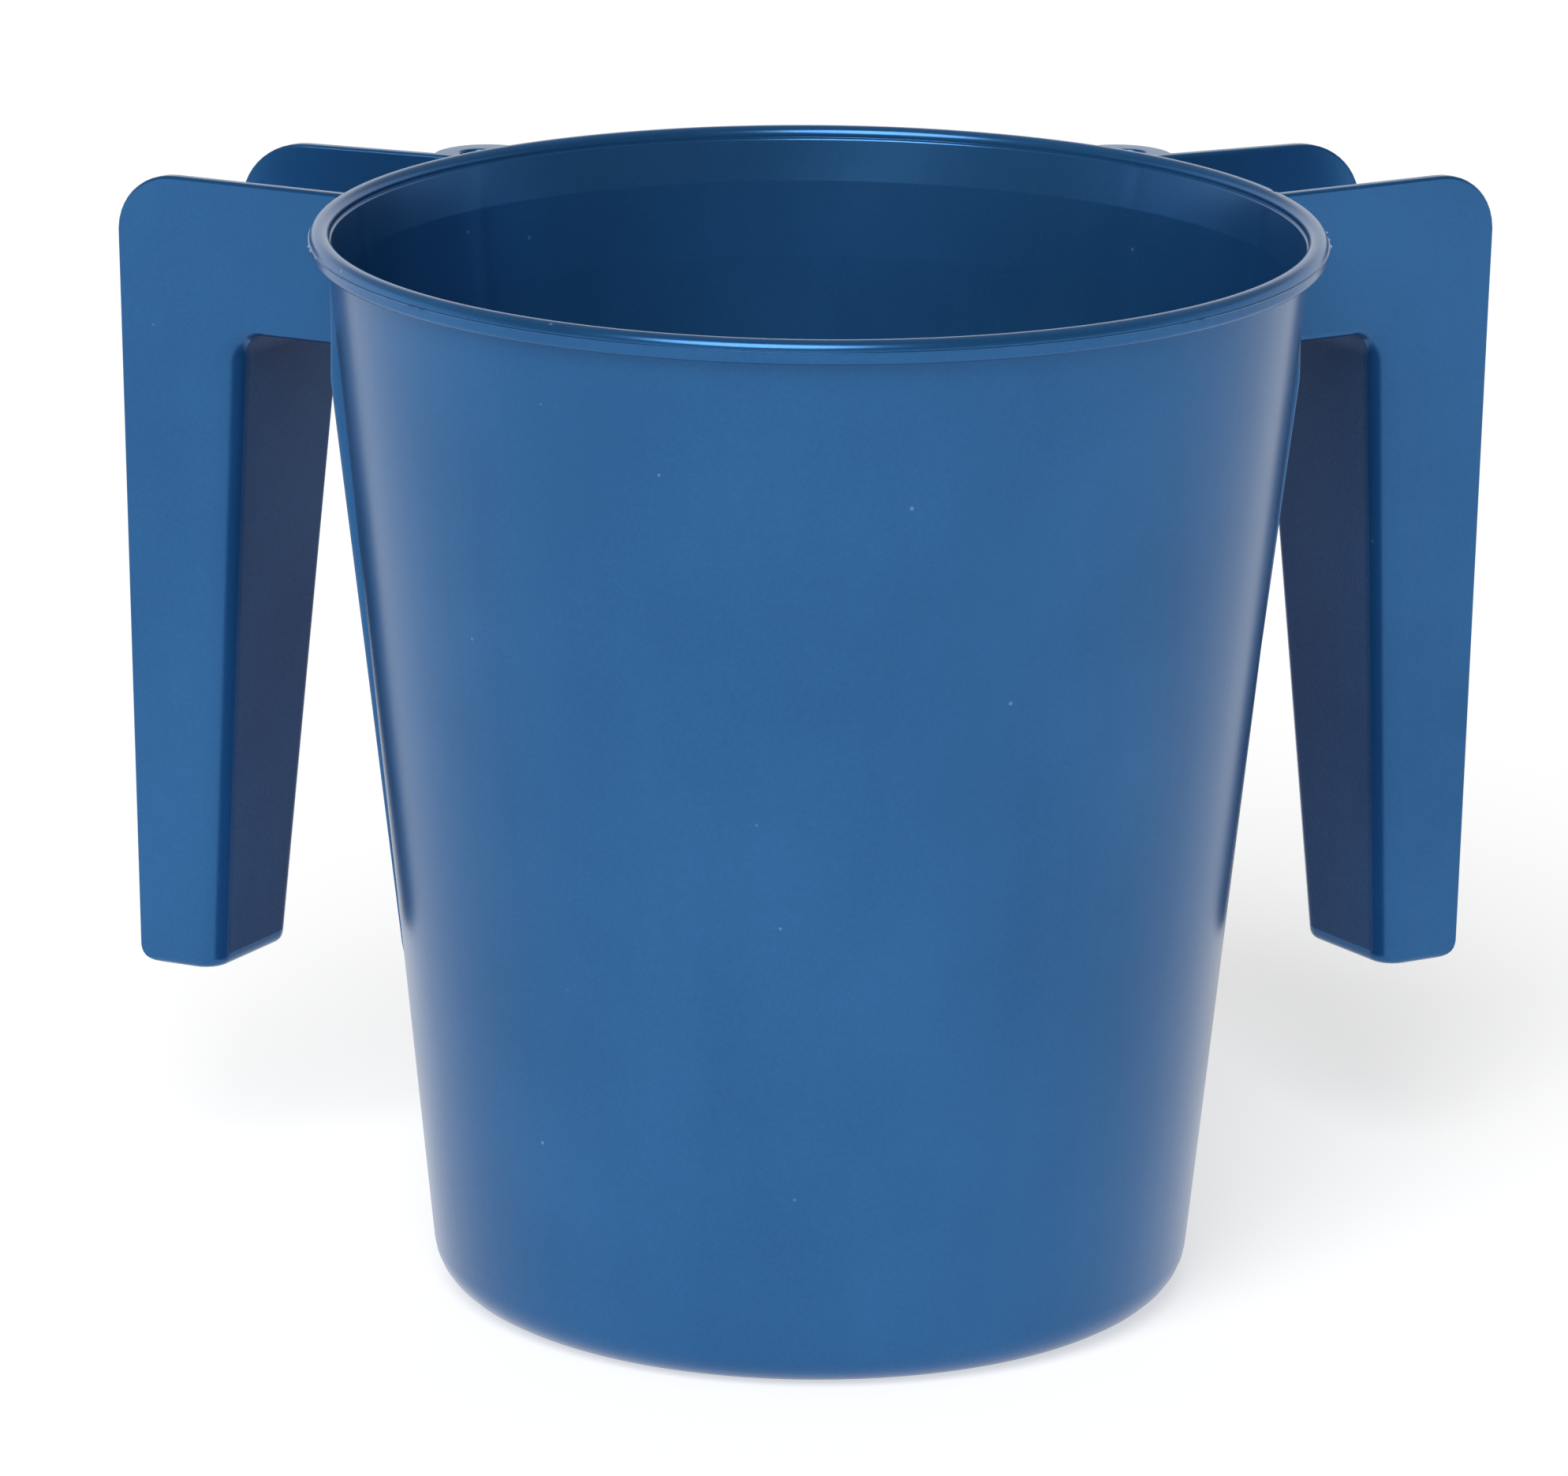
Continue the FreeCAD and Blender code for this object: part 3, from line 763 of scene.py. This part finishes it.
def make_studio():
    make_main_light()
    make_sky()
    bpy.context.scene.view_settings.view_transform = "Standard"
    side = FLOOR_SIDE / 2
    mesh = bpy.data.meshes.new("studio_floor")
    mesh.from_pydata([(-side, -side, 0), (side, -side, 0), (side, side, 0), (-side, side, 0)],
                     [], [(0, 1, 2, 3)])
    floor = bpy.data.objects.new("studio_floor", mesh)
    floor.location.z = -FLOOR_DROP
    mesh.materials.append(floor_material())
    bpy.context.scene.collection.objects.link(floor)


# ---- assembly -------------------------------------------------------------------------------

# how squarely a face must look towards the fingers and the bowl, or down, to take the grip's
# painted shade, and how far at most across the handle
SHADE_TOWARDS_BOWL, FACES_DOWN, FACES_ACROSS = 0.2, -0.5, 0.25


def paint_shade_on_grip(handle, material):
    """The web's side towards the bowl, where the fingers go, and the faces looking down are rougher
    and carry painted shade: a darker, greyer blue.
    """
    handle.data.materials.append(material)
    for face in handle.data.polygons:
        side = math.copysign(1, face.center.x)
        inward = Vector((-side * math.cos(BEARING), -math.sin(BEARING), 0))
        across = Vector((-side * math.sin(BEARING), math.cos(BEARING), 0))
        # faces towards the bowl and faces looking down get the darker grip colour, which is painted
        # shade
        in_painted_shade = face.normal.dot(inward) > SHADE_TOWARDS_BOWL or face.normal.z < FACES_DOWN
        above_heel = face.center.z > (LEG_BOTTOM + PLATE) * MM
        if in_painted_shade and above_heel and abs(face.normal.dot(across)) < FACES_ACROSS:
            face.material_index = 1


def place_piece(piece, material, *nodes):
    finish_surface(piece, material)
    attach(piece, "root")
    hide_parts(*nodes)


plastic = pearly_plastic("blue_pearly_plastic", linear(34, 87, 137), linear(41, 96, 148),
                         roughness=0.23, metallic=0.58, ior=1.42)
# The grip's darker, greyer blue is painted shade for the faces towards the bowl and under the arm;
# its higher roughness and lower metallic are a duller finish.
grip_plastic_painted_shade = pearly_plastic("blue_grip_plastic_with_painted_shade", linear(34, 66, 108), linear(50, 84, 126),
                              roughness=0.5, metallic=0.25, ior=1.2)
make_studio()
make_camera()
place_piece(make_bowl(), plastic, "bucket_base", "bucket_wall", "rim_bead")
right_handle, right_panel, right_ear = make_handle(), make_panel(), make_tab()
left_handle = mirrored(right_handle, "left_handle_shell")
left_panel = mirrored(right_panel, "left_gap_panel_skin")
left_ear = mirrored(right_ear, "left_hanging_ear")
for side, handle, panel, ear in (("right", right_handle, right_panel, right_ear),
                                 ("left", left_handle, left_panel, left_ear)):
    place_piece(handle, plastic, f"{side}_front_cheek", f"{side}_rear_cheek", f"{side}_grip_web")
    paint_shade_on_grip(handle, grip_plastic_painted_shade)
    place_piece(panel, plastic, f"{side}_gap_panel")
    place_piece(ear, plastic, f"{side}_hanging_tab")
